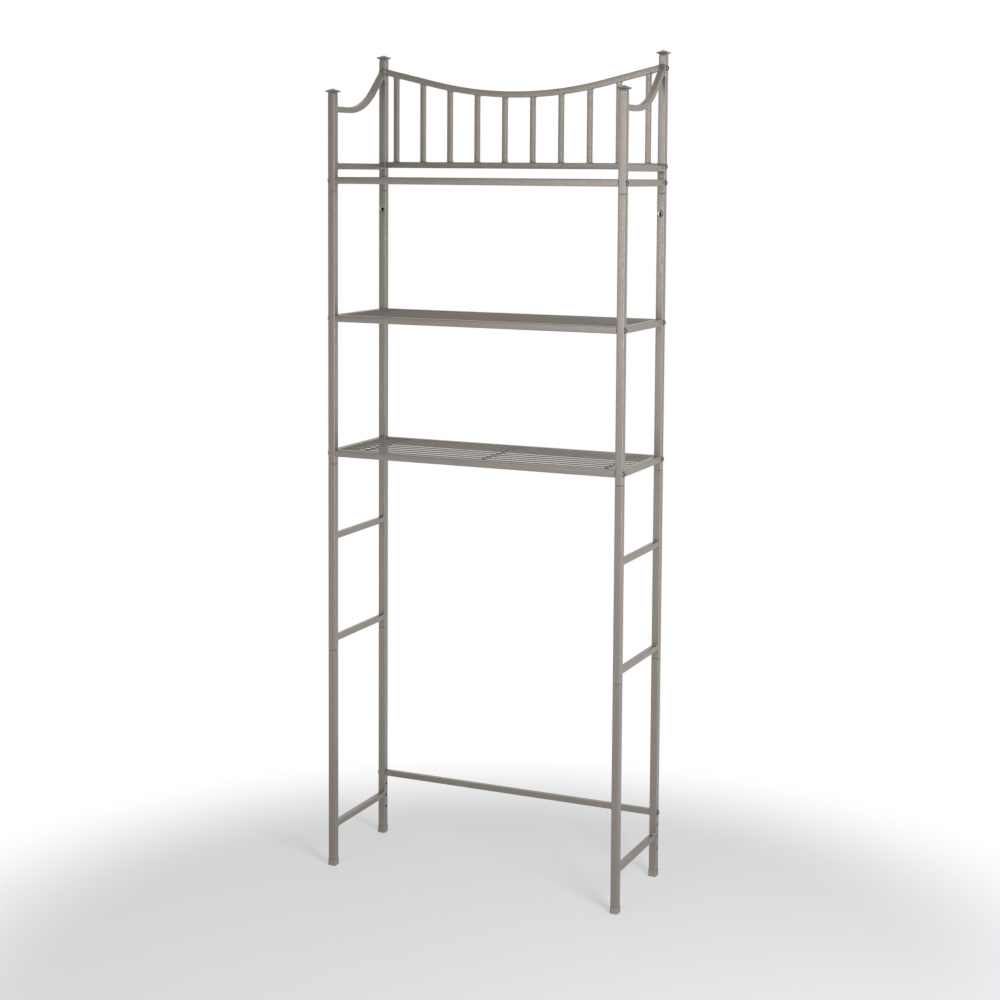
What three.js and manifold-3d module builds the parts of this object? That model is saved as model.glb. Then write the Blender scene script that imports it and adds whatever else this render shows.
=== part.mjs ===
// Over-the-toilet storage rack, in millimetres, +Z up.
// The origin is on the floor, midway between the four posts. -Y is the front, +X is the right-hand side.
// Four posts of plug-together square tube carry three wire shelves, a railed gallery, side rungs and a brace.
import * as THREE from "three";
import { mergeVertices } from "three/addons/utils/BufferGeometryUtils.js";
import Module from "manifold-3d";

const wasm = await Module();
wasm.setup();

// ---- Driving dimensions ----

// Overall footprint, measured over the posts
const rackWidth = 650;
const rackDepth = 236;

// Post tube
const postSize = 15.9;
const postWall = 1;
const postCorner = 1.6;

// Lengths of the post sections, from the foot up; the back posts have the longer upper section
const bottomSection = 457.5;
const lowerSection = 391;
const middleSection = 562;
const frontUpperSection = 196;
const backUpperSection = 275.5;

// Eased lower end of each section, and the swaged neck on top of the three lower ones
const sectionEase = 0.5;
const neckLength = 34;
const neckShoulder = 3;
const neckClearance = 0.3;

// Foot caps, slipped over the post ends
const footFloor = 2.5;
const footHeight = 14;
const footWall = 0.7;
const footClearance = 0.2;
const footRound = 1.5;

// Finials
const finialOverhang = 4.3;
const finialBrimEdge = 1.2;
const finialRise = 5;
const finialOgee = 0.06;
const finialCove = 2.8;
const finialCollarInset = 0.5;
const finialCollarHeight = 3;
const finialPlugDepth = 12;
const finialPlugClearance = 0.3;

// Shelves: frames of square tube with wires along them, over a few cross wires.
// The tops of the lower two rise over the posts' lower joint, and the upper one's over the middle joint.
const lowerShelfRise = 29;
const middleShelfRise = 308;
const upperShelfRise = 28.5;
const shelfTube = 14;
const shelfWall = 1;
const shelfCorner = 1.5;
const wireCount = 8;
const wireSize = 3.2;
const wireDrop = 1.6;
const wireMargin = 21;
const crossWireCount = 3;
const crossWireSize = 4;
const crossWireMargin = 43;
const weldSink = 0.5;

// Gallery: the back panel and the upper side rails share one tube
const galleryTube = 13;
const galleryWall = 1;
const galleryCorner = 1.4;
const panelRailRise = 32.5;
const sideRailRise = 28.5;
const archDrop = 17.5;
const archRadius = 846;
const archEndAngle = 13.2;
const spindleCount = 10;
const spindleSize = 9.5;
const spindleCorner = 1;
const spindleMargin = 23;

// Side arms: level from the front post, then turned up behind the middle and straight to the back post
const armTube = 12;
const armWall = 1;
const armCorner = 1.2;
const armFrontDrop = 24;
const armBackDrop = 20;
const armCornerShift = 15.8;
const armBend = 64;

// Side rungs and back brace share one tube. The upper two rungs rise over the posts' bottom joint.
// The brace can be fixed at any of a row of heights.
const ladderTube = 12;
const ladderWall = 1;
const ladderCorner = 1.2;
const bottomRungHeight = 85.5;
const lowerRungRise = 23;
const upperRungRise = 238.5;
const braceHeight = 135;
const braceHolePitch = 25.4;
const braceHoleCount = 4;

// Screws, and the threaded end plugs of the rails that they hold
const screwShank = 5;
const screwHead = 12;
const screwHeadEdge = 0.6;
const screwDome = 3.2;
const screwSocket = 5;
const screwSocketDepth = 1.8;
const screwGrip = 9;
const screwPoint = 0.8;
const screwClearance = 0.3;
const railClearance = 0.3;
const endPlug = 12;

// Wall-fixing holes in the back posts, below the middle joint, with a dished seat in the tube's front wall
const wallHoleDrop = 40;
const wallHole = 6.5;
const wallDish = 13;
const wallDishDepth = 1.8;

// Facets
const cornerSteps = 2;
const holeSteps = 8;
const wireSteps = 6;
const screwSteps = 10;
const domeSteps = 2;
const coveSteps = 3;
const ogeeSteps = 4;
const archSteps = 14;
const bendSteps = 8;

// ---- Sizes that follow ----

const postX = rackWidth / 2 - postSize / 2;
const postY = rackDepth / 2 - postSize / 2;
const clearWidth = rackWidth - 2 * postSize;
const clearDepth = rackDepth - 2 * postSize;
const postBore = postSize - 2 * postWall;
const boreCorner = Math.max(postCorner - postWall, 0.2);
const screwHole = screwShank + 2 * screwClearance;
const railLength = clearWidth - 2 * railClearance;

// Heights above the floor where the post sections meet, and of the posts' tops
const bottomJoint = footFloor + bottomSection;
const lowerJoint = bottomJoint + lowerSection;
const middleJoint = lowerJoint + middleSection;
const frontPostTop = middleJoint + frontUpperSection;
const backPostTop = middleJoint + backUpperSection;
const wallHoleHeight = middleJoint - wallHoleDrop;

const upperShelfTop = middleJoint + upperShelfRise;
const shelves = [
  { name: "lower", top: lowerJoint + lowerShelfRise },
  { name: "middle", top: lowerJoint + middleShelfRise },
  { name: "upper", top: upperShelfTop },
];
const panelRailTop = upperShelfTop + panelRailRise;
const panelRailHeight = panelRailTop - galleryTube / 2;
const sideRailHeight = upperShelfTop + sideRailRise - galleryTube / 2;

// The arch's centre line: an arc in the middle, with straight ends that rise to the posts
const archTurn = THREE.MathUtils.degToRad(archEndAngle);
const archEndHeight = backPostTop - archDrop - galleryTube / 2 / Math.cos(archTurn);
const archArcHalf = archRadius * Math.sin(archTurn);
const archStraight = clearWidth / 2 - archArcHalf;
const archCentre = archEndHeight - archStraight * Math.tan(archTurn) + archRadius * Math.cos(archTurn);

const sides = [
  { name: "left", sign: -1 },
  { name: "right", sign: 1 },
];
const depths = [
  { name: "front", sign: -1 },
  { name: "back", sign: 1 },
];

// Every screw: its name, the posts it goes through and its height
const shelfScrews = shelves.flatMap((shelf) =>
  depths.map((depth) => ({
    name: `shelf_${shelf.name}_${depth.name}`,
    depth,
    height: shelf.top - shelfTube / 2,
  })),
);
const backScrews = [
  { name: "panel_arch", depth: depths[1], height: archEndHeight },
  { name: "panel_rail", depth: depths[1], height: panelRailHeight },
  { name: "brace", depth: depths[1], height: braceHeight },
];
const screws = [...shelfScrews, ...backScrews];

// ---- Materials ----

const satinNickel = new THREE.MeshStandardMaterial({ color: 0x8b8680, roughness: 0.42, metalness: 0.75 });
const shelfNickel = new THREE.MeshStandardMaterial({ color: 0x86817a, roughness: 0.45, metalness: 0.75 });
const screwSteel = new THREE.MeshStandardMaterial({ color: 0x6e6a66, roughness: 0.35, metalness: 0.9 });
const footPlastic = new THREE.MeshStandardMaterial({ color: 0x7a746e, roughness: 0.6, metalness: 0 });

// ---- Making solids ----

// A closed geometry as a solid that can be cut and joined
function solid(geometry) {
  const plain = geometry.clone();
  plain.deleteAttribute("normal");
  plain.deleteAttribute("uv");
  const merged = mergeVertices(plain, 1e-4);
  return new wasm.Manifold(
    new wasm.Mesh({
      numProp: 3,
      vertProperties: new Float32Array(merged.attributes.position.array),
      triVerts: new Uint32Array(merged.index.array),
    }),
  );
}

// A solid as a geometry with flat faces
function geometryOf(body) {
  const mesh = body.getMesh();
  const geometry = new THREE.BufferGeometry();
  geometry.setAttribute("position", new THREE.BufferAttribute(mesh.vertProperties, 3));
  geometry.setIndex(new THREE.BufferAttribute(mesh.triVerts, 1));
  const faceted = geometry.toNonIndexed();
  faceted.computeVertexNormals();
  return faceted;
}

function joined(bodies) {
  return bodies.reduce((whole, body) => whole.add(body));
}

// A block centred across the rack, between two heights
function block(sizeX, sizeY, bottom, top) {
  const geometry = new THREE.BoxGeometry(sizeX, sizeY, top - bottom);
  return solid(geometry.translate(0, 0, (bottom + top) / 2));
}

// A round rod or hole centred on a point, along X or Y
function rod(diameter, length, axis, centre, steps) {
  const geometry = new THREE.CylinderGeometry(diameter / 2, diameter / 2, length, steps);
  if (axis === "x") geometry.rotateZ(Math.PI / 2);
  return solid(geometry.translate(...centre));
}

// The outline of a square tube, counter-clockwise, with arcs at its corners or with sharp ones
function squarePoints(size, corner) {
  const half = size / 2;
  const flat = half - corner;
  if (corner === 0) {
    return [
      new THREE.Vector2(half, -half),
      new THREE.Vector2(half, half),
      new THREE.Vector2(-half, half),
      new THREE.Vector2(-half, -half),
    ];
  }
  const points = [];
  for (let quarter = 0; quarter < 4; quarter++) {
    const diagonal = ((quarter + 0.5) * Math.PI) / 2;
    const centreX = flat * Math.sign(Math.cos(diagonal));
    const centreY = flat * Math.sign(Math.sin(diagonal));
    for (let step = 0; step <= cornerSteps; step++) {
      const angle = ((quarter + step / cornerSteps) * Math.PI) / 2;
      points.push(new THREE.Vector2(centreX + corner * Math.cos(angle), centreY + corner * Math.sin(angle)));
    }
  }
  return points;
}

// A straight square bar along X, Y or Z, centred on a point
function squareBar(size, corner, length, axis, centre) {
  const outline = new THREE.Shape(squarePoints(size, corner));
  const geometry = new THREE.ExtrudeGeometry(outline, { depth: length, bevelEnabled: false });
  geometry.translate(0, 0, -length / 2);
  if (axis === "x") geometry.rotateY(Math.PI / 2);
  if (axis === "y") geometry.rotateX(Math.PI / 2);
  return solid(geometry.translate(...centre));
}

// A straight square tube, open at both ends
function squareTube(size, wall, corner, length, axis, centre) {
  const bore = squareBar(size - 2 * wall, 0, 1.1 * length, axis, centre);
  return squareBar(size, corner, length, axis, centre).subtract(bore);
}

// A rail along X whose tube is closed at both ends by threaded plugs for the screws
function pluggedRail(size, wall, corner, centre) {
  const bore = squareBar(size - 2 * wall, 0, railLength - 2 * endPlug, "x", centre);
  const threads = rod(screwHole, 1.1 * railLength, "x", centre, holeSteps);
  return squareBar(size, corner, railLength, "x", centre).subtract(bore).subtract(threads);
}

// A loft through rounded squares stacked along Z, each given as [size, corner, z].
// The squares start and end on the axis with a size of 0, or close on themselves.
function squareLoft(stations) {
  const positions = [];
  const rings = stations.map(([size, corner, z]) => {
    const first = positions.length / 3;
    const points = size > 0 ? squarePoints(size, corner) : [new THREE.Vector2(0, 0)];
    points.forEach((point) => positions.push(point.x, point.y, z));
    return points.map((_, i) => first + i);
  });
  const faces = [];
  const bands = stations[0][0] > 0 ? rings.length : rings.length - 1;
  for (let i = 0; i < bands; i++) {
    const lower = rings[i];
    const upper = rings[(i + 1) % rings.length];
    const count = Math.max(lower.length, upper.length);
    for (let k = 0; k < count; k++) {
      const next = (k + 1) % count;
      if (lower.length > 1) faces.push(lower[k], lower[next], upper[next % upper.length]);
      if (upper.length > 1) faces.push(lower[k % lower.length], upper[next], upper[k]);
    }
  }
  const geometry = new THREE.BufferGeometry();
  geometry.setAttribute("position", new THREE.Float32BufferAttribute(positions, 3));
  geometry.setIndex(faces);
  return solid(geometry);
}

// A line of points moved sideways to its left by a distance, with mitred turns
function offsetLine(points, distance) {
  return points.map((point, i) => {
    const before = i > 0 ? points[i - 1] : point.clone().multiplyScalar(2).sub(points[i + 1]);
    const after = i < points.length - 1 ? points[i + 1] : point.clone().multiplyScalar(2).sub(points[i - 1]);
    const into = point.clone().sub(before).normalize();
    const out = after.clone().sub(point).normalize();
    const normal = new THREE.Vector2(-into.y - out.y, into.x + out.x).normalize();
    const mitre = distance / (normal.y * into.x - normal.x * into.y);
    return point.clone().addScaledVector(normal, mitre);
  });
}

// A flat outline in across-and-up coordinates, given thickness along Y and rounded long edges
function sideExtrude(points, thickness, corner) {
  const geometry = new THREE.ExtrudeGeometry(new THREE.Shape(points), {
    depth: thickness - 2 * corner,
    bevelEnabled: corner > 0,
    bevelThickness: corner,
    bevelSize: corner,
    bevelOffset: -corner,
    bevelSegments: cornerSteps,
  });
  geometry.translate(0, 0, corner - thickness / 2);
  return solid(geometry.rotateX(Math.PI / 2));
}

// A bar of square section along a bent centre line
function bentBar(line, size, corner) {
  const above = offsetLine(line, size / 2);
  const below = offsetLine(line, -size / 2);
  return sideExtrude([...below, ...above.reverse()], size, corner);
}

// ---- Putting pieces in place ----

const rack = new THREE.Group();

function addPiece(name, geometry, material, x, y, z) {
  const mesh = new THREE.Mesh(geometry, material);
  mesh.name = name;
  mesh.position.set(x, y, z);
  rack.add(mesh);
  return mesh;
}

// One copy of a piece at each of the four posts, or at the two posts of one depth
function addAtPosts(prefix, suffix, geometry, material, z, atDepths = depths) {
  for (const depth of atDepths) {
    for (const side of sides) {
      const name = `${prefix}_${depth.name}_${side.name}${suffix}`;
      addPiece(name, geometry, material, side.sign * postX, depth.sign * postY, z);
    }
  }
}

// ---- Posts ----

// One post section, from its lower end to the joint above, with a neck that fits the next section's bore
function postSection(from, to, hasNeck) {
  const neckSize = postBore - 2 * neckClearance;
  const neckBore = neckSize - 2 * postWall;
  const top = hasNeck ? to + neckLength : to;
  const neck = [
    [neckSize, boreCorner, to],
    [neckSize, boreCorner, top],
  ];
  const necking = [
    [postBore, 0, to - postWall - neckShoulder],
    [neckBore, 0, to - postWall],
  ];
  const tube = squareLoft([
    [0, 0, from],
    [postSize - 2 * sectionEase, postCorner - sectionEase, from],
    [postSize, postCorner, from + sectionEase],
    [postSize, postCorner, to],
    ...(hasNeck ? neck : []),
    [0, 0, top],
  ]);
  const bore = squareLoft([
    [0, 0, from - postWall],
    [postBore, 0, from - postWall],
    ...(hasNeck ? necking : []),
    [hasNeck ? neckBore : postBore, 0, top + postWall],
    [0, 0, top + postWall],
  ]);
  return tube.subtract(bore);
}

// The holes along X that the screws pass through, and the spare ones that let the brace be set lower
function holeHeights(depth) {
  const heights = screws.filter((screw) => screw.depth === depth).map((screw) => screw.height);
  if (depth.name === "front") return heights;
  const spare = Array.from({ length: braceHoleCount - 1 }, (_, i) => braceHeight - (i + 1) * braceHolePitch);
  return [...heights, ...spare];
}

// The seat of a wall screw: a dish pressed into the tube's front wall, and a hole through both walls
function withWallSeat(body) {
  const face = -postSize / 2;
  const cone = (wide, narrow, from, to) => {
    const geometry = new THREE.CylinderGeometry(narrow / 2, wide / 2, to - from, screwSteps);
    return solid(geometry.translate(0, (from + to) / 2, wallHoleHeight));
  };
  const dish = cone(wallDish, wallHole, face, face + wallDishDepth);
  const bossEnd = face + postWall + wallDishDepth;
  const boss = cone(wallDish + postWall, wallHole + postWall, face + postWall / 2, bossEnd);
  const hole = rod(wallHole, 1.1 * postSize, "y", [0, 0, wallHoleHeight], screwSteps);
  return body.add(boss).subtract(dish).subtract(hole);
}

function addPosts(depth, postTop) {
  const sections = [
    { name: "bottom", from: footFloor, to: bottomJoint },
    { name: "lower", from: bottomJoint, to: lowerJoint },
    { name: "middle", from: lowerJoint, to: middleJoint },
    { name: "upper", from: middleJoint, to: postTop },
  ];
  for (const section of sections) {
    const hasNeck = section.to !== postTop;
    const reach = hasNeck ? section.to + neckLength : section.to;
    const heights = holeHeights(depth).filter((z) => z > section.from - screwHole && z < reach + screwHole);
    const hasWallHole = wallHoleHeight > section.from && wallHoleHeight < section.to;
    let body = postSection(section.from, section.to, hasNeck);
    for (const z of heights) body = body.subtract(rod(screwHole, 1.1 * postSize, "x", [0, 0, z], holeSteps));
    if (depth.name === "back" && hasWallHole) body = withWallSeat(body);
    addAtPosts("post", `_${section.name}`, geometryOf(body), satinNickel, 0, [depth]);
  }
}

addPosts(depths[0], frontPostTop);
addPosts(depths[1], backPostTop);

// ---- Finials ----

// A plug, a collar, a cove out to a thin square brim, and a low ogee cap, from z = 0 at the post's top
function finial() {
  const plug = postBore - 2 * finialPlugClearance;
  const collar = postSize - 2 * finialCollarInset;
  const brim = postSize + 2 * finialOverhang;
  const brimTop = finialCollarHeight + finialCove + finialBrimEdge;
  const cornerShare = boreCorner / collar;
  const cove = Array.from({ length: coveSteps }, (_, i) => {
    const angle = ((i + 1) / coveSteps) * (Math.PI / 2);
    const size = collar + (brim - collar) * (1 - Math.cos(angle));
    return [size, size * cornerShare, finialCollarHeight + finialCove * Math.sin(angle)];
  });
  const cap = Array.from({ length: ogeeSteps }, (_, i) => {
    const share = i / ogeeSteps;
    const size = brim * (1 - share);
    const height = finialRise * (share - finialOgee * Math.sin(2 * Math.PI * share));
    return [size, size * cornerShare, brimTop + height];
  });
  return squareLoft([
    [0, 0, -finialPlugDepth],
    [plug, boreCorner, -finialPlugDepth],
    [plug, boreCorner, 0],
    [collar, boreCorner, 0],
    [collar, boreCorner, finialCollarHeight],
    ...cove,
    ...cap,
    [0, 0, brimTop + finialRise],
  ]);
}

const finialShape = geometryOf(finial());
addAtPosts("finial", "", finialShape, satinNickel, frontPostTop, [depths[0]]);
addAtPosts("finial", "", finialShape, satinNickel, backPostTop, [depths[1]]);

// ---- Foot caps ----

function footCap() {
  const bore = postSize + 2 * footClearance;
  const outside = bore + 2 * footWall;
  const capBoreCorner = postCorner + footClearance;
  const corner = capBoreCorner + footWall;
  const ease = footRound * (1 - Math.SQRT1_2);
  return squareLoft([
    [0, 0, 0],
    [outside - 2 * footRound, corner, 0],
    [outside - 2 * ease, corner, ease],
    [outside, corner, footRound],
    [outside, corner, footHeight],
    [bore, capBoreCorner, footHeight],
    [bore, capBoreCorner, footFloor],
    [0, 0, footFloor],
  ]);
}

addAtPosts("foot_cap", "", geometryOf(footCap()), footPlastic, 0);

// ---- Shelves ----

// One shelf, with the top of its frame at z = 0
function shelf() {
  const middle = -shelfTube / 2;
  const endRail = clearDepth - 2 * railClearance;
  const railInnerX = postX - shelfTube / 2;
  const railInnerY = postY - shelfTube / 2;
  const wireZ = -wireDrop - wireSize / 2;
  const crossZ = wireZ - wireSize / 2 - crossWireSize / 2 + weldSink;
  const wireSpan = 2 * (railInnerY - wireMargin);
  const crossSpan = 2 * (railInnerX - crossWireMargin);
  const bodies = [];
  for (const { sign } of sides) {
    bodies.push(pluggedRail(shelfTube, shelfWall, shelfCorner, [0, sign * postY, middle]));
    bodies.push(squareTube(shelfTube, shelfWall, shelfCorner, endRail, "y", [sign * postX, 0, middle]));
  }
  for (let i = 0; i < crossWireCount; i++) {
    const x = crossSpan * (i / (crossWireCount - 1) - 0.5);
    bodies.push(rod(crossWireSize, 2 * (railInnerY + weldSink), "y", [x, 0, crossZ], wireSteps));
  }
  for (let i = 0; i < wireCount; i++) {
    const y = wireSpan * (i / (wireCount - 1) - 0.5);
    bodies.push(rod(wireSize, 2 * (railInnerX + weldSink), "x", [0, y, wireZ], wireSteps));
  }
  return joined(bodies);
}

const shelfShape = geometryOf(shelf());
for (const { name, top } of shelves) addPiece(`shelf_${name}`, shelfShape, shelfNickel, 0, 0, top);

// ---- Back panel of the gallery ----

// The arch's centre line, run on past both posts by some length
function archLine(past) {
  const end = clearWidth / 2 + past;
  const endHeight = archEndHeight + past * Math.tan(archTurn);
  const arc = Array.from({ length: archSteps + 1 }, (_, i) => {
    const angle = archTurn * ((2 * i) / archSteps - 1);
    return new THREE.Vector2(archRadius * Math.sin(angle), archCentre - archRadius * Math.cos(angle));
  });
  return [new THREE.Vector2(-end, endHeight), ...arc, new THREE.Vector2(end, endHeight)];
}

// The sagging top rail: a bent tube cut off square at the posts, with plugs for the screws in its ends
function arch(line) {
  const bottom = panelRailTop;
  const top = 2 * archEndHeight - bottom;
  const width = 2 * galleryTube;
  const tube = bentBar(line, galleryTube, galleryCorner).intersect(block(railLength, width, bottom, top));
  const bore = bentBar(line, galleryTube - 2 * galleryWall, 0);
  const threads = rod(screwHole, 1.1 * railLength, "x", [0, 0, archEndHeight], holeSteps);
  const middle = block(railLength - 2 * endPlug, width, bottom, top);
  return tube.subtract(bore.intersect(middle)).subtract(threads.subtract(middle));
}

// The spindles, welded on the bottom rail and coped to the underside of the arch
function spindles(line) {
  const span = clearWidth - 2 * spindleMargin;
  const bottom = panelRailTop - weldSink;
  const length = archEndHeight - bottom;
  const underside = offsetLine(line, weldSink - galleryTube / 2);
  const left = new THREE.Vector2(underside[0].x, bottom - galleryTube);
  const right = new THREE.Vector2(underside[underside.length - 1].x, bottom - galleryTube);
  const below = sideExtrude([left, right, ...underside.reverse()], 2 * spindleSize, 0);
  const bars = [];
  for (let i = 0; i < spindleCount; i++) {
    const x = span * (i / (spindleCount - 1) - 0.5);
    bars.push(squareBar(spindleSize, spindleCorner, length, "z", [x, 0, bottom + length / 2]));
  }
  return joined(bars).intersect(below);
}

function backPanel() {
  const line = archLine(2 * galleryTube);
  const rail = pluggedRail(galleryTube, galleryWall, galleryCorner, [0, 0, panelRailHeight]);
  return joined([arch(line), rail, spindles(line)]);
}

addPiece("back_panel", geometryOf(backPanel()), satinNickel, 0, postY, 0);

// ---- Side arms and upper side rails ----

// The arm's centre line, in depth and height, run on past both posts.
// Its slope brings the top edge, half a tube above the centre line, to the back post at the right height.
function armLine() {
  const reach = clearDepth / 2;
  const half = armTube / 2;
  const frontHeight = frontPostTop - armFrontDrop - half;
  const run = reach - armCornerShift;
  const rise = backPostTop - armBackDrop - frontHeight;
  const slope = Math.atan2(rise, run) - Math.asin(half / Math.hypot(rise, run));
  const corner = new THREE.Vector2(armCornerShift, frontHeight);
  const up = new THREE.Vector2(Math.cos(slope), Math.sin(slope));
  const bendStart = new THREE.Vector2(corner.x - armBend, frontHeight);
  const bendEnd = corner.clone().addScaledVector(up, armBend);
  const bend = new THREE.QuadraticBezierCurve(bendStart, corner, bendEnd).getPoints(bendSteps);
  const front = new THREE.Vector2(-reach - armTube, frontHeight);
  const back = corner.clone().addScaledVector(up, run / up.x + 2 * armTube);
  return [front, ...bend, back];
}

function arm() {
  const line = armLine();
  const low = Math.min(line[0].y, line[line.length - 1].y) - 2 * armTube;
  const high = Math.max(line[0].y, line[line.length - 1].y) + 2 * armTube;
  const between = block(clearDepth, 2 * armTube, low, high);
  const tube = bentBar(line, armTube, armCorner).intersect(between);
  const bore = bentBar(line, armTube - 2 * armWall, 0);
  return tube.subtract(bore).rotate([0, 0, 90]);
}

const armShape = geometryOf(arm());
const sideRail = squareTube(galleryTube, galleryWall, galleryCorner, clearDepth, "y", [0, 0, 0]);
const sideRailShape = geometryOf(sideRail);
for (const side of sides) {
  addPiece(`arm_${side.name}`, armShape, satinNickel, side.sign * postX, 0, 0);
  addPiece(`side_rail_${side.name}`, sideRailShape, satinNickel, side.sign * postX, 0, sideRailHeight);
}

// ---- Side rungs and back brace ----

const rungShape = geometryOf(squareTube(ladderTube, ladderWall, ladderCorner, clearDepth, "y", [0, 0, 0]));
const rungs = [
  { name: "bottom", height: bottomRungHeight },
  { name: "lower", height: bottomJoint + lowerRungRise },
  { name: "upper", height: bottomJoint + upperRungRise },
];
for (const side of sides) {
  for (const { name, height } of rungs) {
    addPiece(`rung_${side.name}_${name}`, rungShape, satinNickel, side.sign * postX, 0, height);
  }
}

const braceShape = geometryOf(pluggedRail(ladderTube, ladderWall, ladderCorner, [0, 0, 0]));
addPiece("back_brace", braceShape, satinNickel, 0, postY, braceHeight);

// ---- Screws ----

// A dome-head socket screw along X, with its head's underside at x = 0 and its point towards -X
function screw() {
  const length = postSize + railClearance + screwGrip;
  const dome = Array.from({ length: domeSteps }, (_, i) => {
    const angle = (i / domeSteps) * (Math.PI / 2);
    const height = screwHeadEdge + (screwDome - screwHeadEdge) * Math.sin(angle);
    return new THREE.Vector2((screwHead / 2) * Math.cos(angle), height);
  });
  const profile = [
    new THREE.Vector2(0, -length),
    new THREE.Vector2(screwShank / 2 - screwPoint, -length),
    new THREE.Vector2(screwShank / 2, screwPoint - length),
    new THREE.Vector2(screwShank / 2, 0),
    new THREE.Vector2(screwHead / 2, 0),
    ...dome,
    new THREE.Vector2(0, screwDome),
  ];
  const socketRadius = screwSocket / Math.sqrt(3);
  const socket = new THREE.CylinderGeometry(socketRadius, socketRadius, 2 * screwSocketDepth, 6);
  const body = solid(new THREE.LatheGeometry(profile, screwSteps));
  return body.subtract(solid(socket.translate(0, screwDome, 0))).rotate([0, 0, -90]);
}

const screwShape = geometryOf(screw());
for (const { name, depth, height } of screws) {
  for (const side of sides) {
    const x = (side.sign * rackWidth) / 2;
    const y = depth.sign * postY;
    const mesh = addPiece(`screw_${name}_${side.name}`, screwShape, screwSteel, x, y, height);
    if (side.sign < 0) mesh.rotation.z = Math.PI;
  }
}

export default rack;
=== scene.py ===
import math

import bmesh
import bpy
from mathutils import Matrix, Vector, noise


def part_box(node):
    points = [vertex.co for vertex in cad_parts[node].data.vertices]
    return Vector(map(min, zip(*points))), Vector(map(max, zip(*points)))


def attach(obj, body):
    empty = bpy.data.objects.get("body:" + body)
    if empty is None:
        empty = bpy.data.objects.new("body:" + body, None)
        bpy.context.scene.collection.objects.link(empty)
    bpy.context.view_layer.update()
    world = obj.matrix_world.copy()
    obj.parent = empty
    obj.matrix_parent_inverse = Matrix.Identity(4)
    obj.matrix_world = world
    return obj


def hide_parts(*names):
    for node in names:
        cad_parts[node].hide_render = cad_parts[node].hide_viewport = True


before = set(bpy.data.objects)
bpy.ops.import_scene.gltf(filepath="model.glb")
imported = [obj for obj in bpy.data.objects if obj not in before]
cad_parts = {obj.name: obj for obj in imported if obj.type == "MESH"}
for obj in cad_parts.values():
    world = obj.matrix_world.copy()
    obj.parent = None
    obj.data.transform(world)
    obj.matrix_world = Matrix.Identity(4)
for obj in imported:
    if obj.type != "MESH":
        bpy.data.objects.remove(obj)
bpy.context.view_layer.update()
mm = 0.001  # every shape below is worked out in millimetres
sides = ("left", "right")
depths = ("front", "back")
print("frame loaded:", len(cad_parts), "nodes")


# ---- camera ----

viewpoint = {
    "place": (1616.0, -3517.4, 1452.0),
    "azimuth": 23.37,  # degrees to the right of straight ahead
    "down": 4.56,
    "roll": 0.44,
    "lens": 68.42,
    "sensor": 36,
    "shift": (-0.0388, -0.1751),
    "clipEnd": 50,  # metres
}


def addCamera():
    azimuth, down, roll = (math.radians(viewpoint[key]) for key in ("azimuth", "down", "roll"))
    ahead = Vector((-math.sin(azimuth) * math.cos(down), math.cos(azimuth) * math.cos(down), -math.sin(down)))
    level = Vector((math.cos(azimuth), math.sin(azimuth), 0))
    upright = level.cross(ahead)
    right = level * math.cos(roll) + upright * math.sin(roll)
    up = upright * math.cos(roll) - level * math.sin(roll)
    data = bpy.data.cameras.new("camera")
    data.lens = viewpoint["lens"]
    data.sensor_width = viewpoint["sensor"]
    data.shift_x, data.shift_y = viewpoint["shift"]
    data.clip_end = viewpoint["clipEnd"]
    camera = bpy.data.objects.new("camera", data)
    turned = Matrix((right, up, -ahead)).transposed().to_4x4()
    camera.matrix_world = Matrix.Translation(Vector(viewpoint["place"]) * mm) @ turned
    bpy.context.scene.collection.objects.link(camera)
    bpy.context.scene.camera = camera


addCamera()
bpy.context.scene.view_settings.view_transform = "Standard"


# ---- colours and nodes ----

def linear(hexColour):
    levels = [int(hexColour[i:i + 2], 16) / 255 for i in (1, 3, 5)]
    return (*[v / 12.92 if v <= 0.04045 else ((v + 0.055) / 1.055) ** 2.4 for v in levels], 1)


# Adds a node with its settings, and for each input a value or the output that feeds it
def addNode(tree, kind, settings=None, inputs=None):
    node = tree.nodes.new(kind)
    for key, value in (settings or {}).items():
        setattr(node, key, value)
    for key, value in (inputs or {}).items():
        if isinstance(value, bpy.types.NodeSocket):
            tree.links.new(value, node.inputs[key])
        else:
            node.inputs[key].default_value = value
    return node


# An empty material, its node tree, and the place on the object in metres that its patterns are laid by
def newMaterial(name):
    material = bpy.data.materials.new(name)
    material.use_nodes = True
    tree = material.node_tree
    tree.nodes.clear()
    return material, tree, addNode(tree, "ShaderNodeTexCoord").outputs["Object"]


def perMetre(millimetres):
    return 1000 / millimetres


# ---- world, floor and lamps ----

studio = {
    "white": "#ffffff",
    "fill": 0.26,  # the room's light on dull surfaces, where 1 shows a colour as written
    "room": 0.3,  # how bright the room in front of the rack is in its sheen; the backdrop behind it is white
    "roomTurns": (-0.4, 0.5),  # where one turns into the other, as the sine of the angle behind the rack
    "floor": ("#eaebed", "#eeeff0"),
    "floorGrain": 90,
    "floorRoughness": 0.7,
    "floorGlow": 0.42,  # share of the white backdrop mixed into the floor near the rack
    "floorCentre": (200, -450, 0),
    "floorFade": (760, 1300),  # from that centre, where the floor starts to turn white and where it is white
    "floorSize": 40000,
}
lamps = {
    # level is the share of full exposure that a lamp gives a surface facing it at its aim
    "key": {"place": (1640, -1215, 1150), "aim": (0, 0, 850), "size": (700, 2000), "level": 0.74},
    "front": {"place": (-450, -2900, 1600), "aim": (200, 0, 1200), "size": (950, 1650), "level": 0.15},
}


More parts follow.
